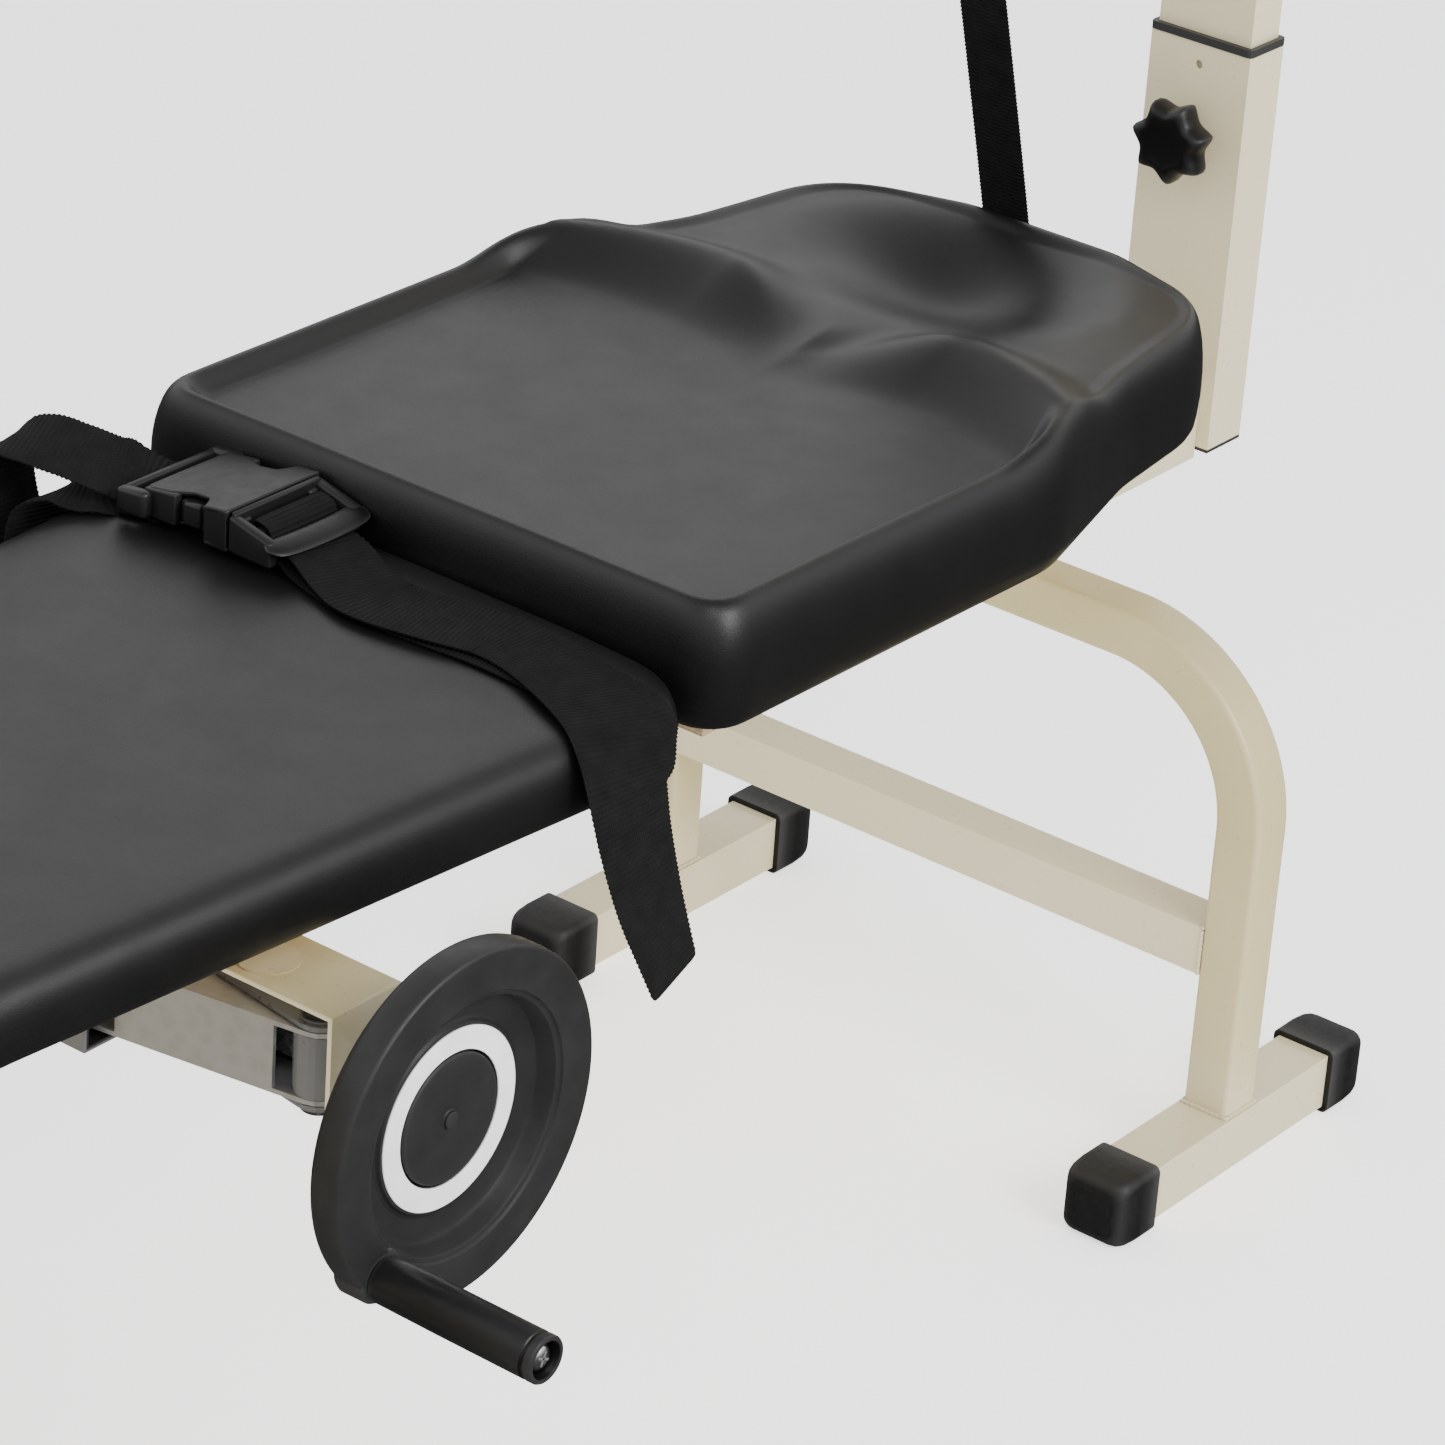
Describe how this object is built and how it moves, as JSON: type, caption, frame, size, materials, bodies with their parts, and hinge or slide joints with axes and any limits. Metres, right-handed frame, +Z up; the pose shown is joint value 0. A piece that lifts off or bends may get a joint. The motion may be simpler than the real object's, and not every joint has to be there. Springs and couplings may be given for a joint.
{
  "type": "traction bed",
  "caption": "Cream tube-frame traction bed with moulded and sliding black pads, side handwheel driving a flat scissor jack, waist belt and a clamped mast with pull strap.",
  "frame": {"origin": "middle of the bounding box, on the floor", "axes": "+X along the bed towards the head, +Y to the side away from the handwheel, +Z up"},
  "size_m": [1.9464, 0.6794, 1.14],
  "materials": {
    "cream_paint": "satin powder coat",
    "rubber_cap": "matt moulded",
    "leatherette": "fine-grained satin",
    "plywood": "raw",
    "webbing": "ribbed weave",
    "galvanised": "galvanised",
    "black_paint": "satin black",
    "bright_steel": "zinc plated",
    "black_plastic": "fine texture"
  },
  "bodies": {
    "frame": {"head_arch": "cream_paint", "foot_arch": "cream_paint", "head_crossbar": "cream_paint", "foot_crossbar": "cream_paint", "floor_bar_head_near": "cream_paint", "floor_bar_head_far": "cream_paint", "floor_bar_foot_near": "cream_paint", "floor_bar_foot_far": "cream_paint", "floor_cap_head_near_foot": "rubber_cap", "floor_cap_head_near_head": "rubber_cap", "floor_cap_head_far_foot": "rubber_cap", "floor_cap_head_far_head": "rubber_cap", "floor_cap_foot_near_foot": "rubber_cap", "floor_cap_foot_near_head": "rubber_cap", "floor_cap_foot_far_foot": "rubber_cap", "floor_cap_foot_far_head": "rubber_cap", "spine_head": "cream_paint", "rail_near": "cream_paint", "rail_far": "cream_paint", "rail_tie_1": "cream_paint", "rail_tie_2": "cream_paint", "foot_riser": "cream_paint", "pad_support_1": "cream_paint", "pad_support_2": "cream_paint", "upper_pad_board": "plywood", "upper_pad": "leatherette", "post_socket": "cream_paint", "post_collar": "black_plastic", "post_plug": "black_plastic", "jack_base": "black_paint", "strap_anchor": "black_paint", "pull_strap": "webbing"},
    "carriage": {"lower_pad": "leatherette", "lower_pad_board": "plywood", "carriage_bar_head": "cream_paint", "carriage_bar_foot": "cream_paint", "slide_shoe_head_near": "black_plastic", "slide_shoe_head_far": "black_plastic", "slide_shoe_foot_near": "black_plastic", "slide_shoe_foot_far": "black_plastic", "jack_saddle": "black_paint", "belt_far": "webbing", "buckle_female": "black_plastic"},
    "near_head_arm": {"jack_arm_head_near": "black_paint"},
    "near_trunnion": {"trunnion_near": "black_paint", "crank_bracket": "cream_paint"},
    "near_foot_arm": {"jack_arm_foot_near": "galvanised"},
    "screw": {"lead_screw": "bright_steel", "handwheel": "black_plastic", "wheel_cap": "black_plastic", "grip_bolt": "bright_steel"},
    "grip": {"handle_grip": "black_plastic"},
    "far_head_arm": {"jack_arm_head_far": "black_paint"},
    "far_trunnion": {"trunnion_far": "black_paint"},
    "far_foot_arm": {"jack_arm_foot_far": "galvanised"},
    "mast": {"mast_tube": "cream_paint", "mast_arm": "cream_paint"},
    "knob": {"clamp_knob": "black_plastic"},
    "male_buckle": {"buckle_male": "black_plastic", "belt_near": "webbing"}
  },
  "joints": [
    {"name": "near_base_pivot", "type": "hinge", "parent": "frame", "child": "near_head_arm", "pos_m": [-0.13057, 0.02275, 0.4255], "axis": [0, 0, -1], "range_deg": [0, 15.1]},
    {"name": "near_trunnion_pivot", "type": "hinge", "parent": "near_head_arm", "child": "near_trunnion", "pos_m": [-0.15325, -0.12047, 0.4255], "axis": [0, 0, 1], "range_deg": [0, 15.1]},
    {"name": "near_foot_pivot", "type": "hinge", "parent": "near_trunnion", "child": "near_foot_arm", "pos_m": [-0.15325, -0.12047, 0.4255], "axis": [0, 0, 1], "range_deg": [0, 15.1]},
    {"name": "handwheel_turn", "type": "hinge", "parent": "near_trunnion", "child": "screw", "pos_m": [-0.15325, -0.22575, 0.4255], "axis": [0, 1, 0], "range_deg": [0, 2580]},
    {"name": "handle_spin", "type": "hinge", "parent": "screw", "child": "grip", "pos_m": [-0.21875, -0.22575, 0.362], "axis": [0, 1, 0], "continuous": true},
    {"name": "far_base_pivot", "type": "hinge", "parent": "frame", "child": "far_head_arm", "pos_m": [-0.13057, 0.05675, 0.4255], "axis": [0, 0, 1], "range_deg": [0, 15.1]},
    {"name": "far_trunnion_pivot", "type": "hinge", "parent": "far_head_arm", "child": "far_trunnion", "pos_m": [-0.15325, 0.19997, 0.4255], "axis": [0, 0, -1], "range_deg": [0, 15.1]},
    {"name": "far_foot_pivot", "type": "hinge", "parent": "far_trunnion", "child": "far_foot_arm", "pos_m": [-0.15325, 0.19997, 0.4255], "axis": [0, 0, -1], "range_deg": [0, 15.1]},
    {"name": "carriage_slide", "type": "slide", "parent": "frame", "child": "carriage", "axis": [-1, 0, 0], "range_m": [0, 0.0728]},
    {"name": "mast_slide", "type": "slide", "parent": "frame", "child": "mast", "axis": [0, 0, 1], "range_m": [0, 0.15], "deforming": ["pull_strap"]},
    {"name": "knob_turn", "type": "hinge", "parent": "frame", "child": "knob", "pos_m": [0.93225, 0.07525, 0.613], "axis": [-1, 0, 0], "range_deg": [0, 720]},
    {"name": "buckle_release", "type": "slide", "parent": "carriage", "child": "male_buckle", "axis": [0, -1, 0], "range_m": [0, 0.035], "deforming": ["belt_near"]}
  ],
  "couplings": [
    {"joint": "near_base_pivot", "follows": "handwheel_turn", "ratio": 0.005814},
    {"joint": "near_trunnion_pivot", "follows": "handwheel_turn", "ratio": 0.005814},
    {"joint": "near_foot_pivot", "follows": "handwheel_turn", "ratio": 0.005814},
    {"joint": "far_base_pivot", "follows": "handwheel_turn", "ratio": 0.005814},
    {"joint": "far_trunnion_pivot", "follows": "handwheel_turn", "ratio": 0.005814},
    {"joint": "far_foot_pivot", "follows": "handwheel_turn", "ratio": 0.005814},
    {"joint": "carriage_slide", "follows": "handwheel_turn", "m_per_rad": 0.001612}
  ]
}
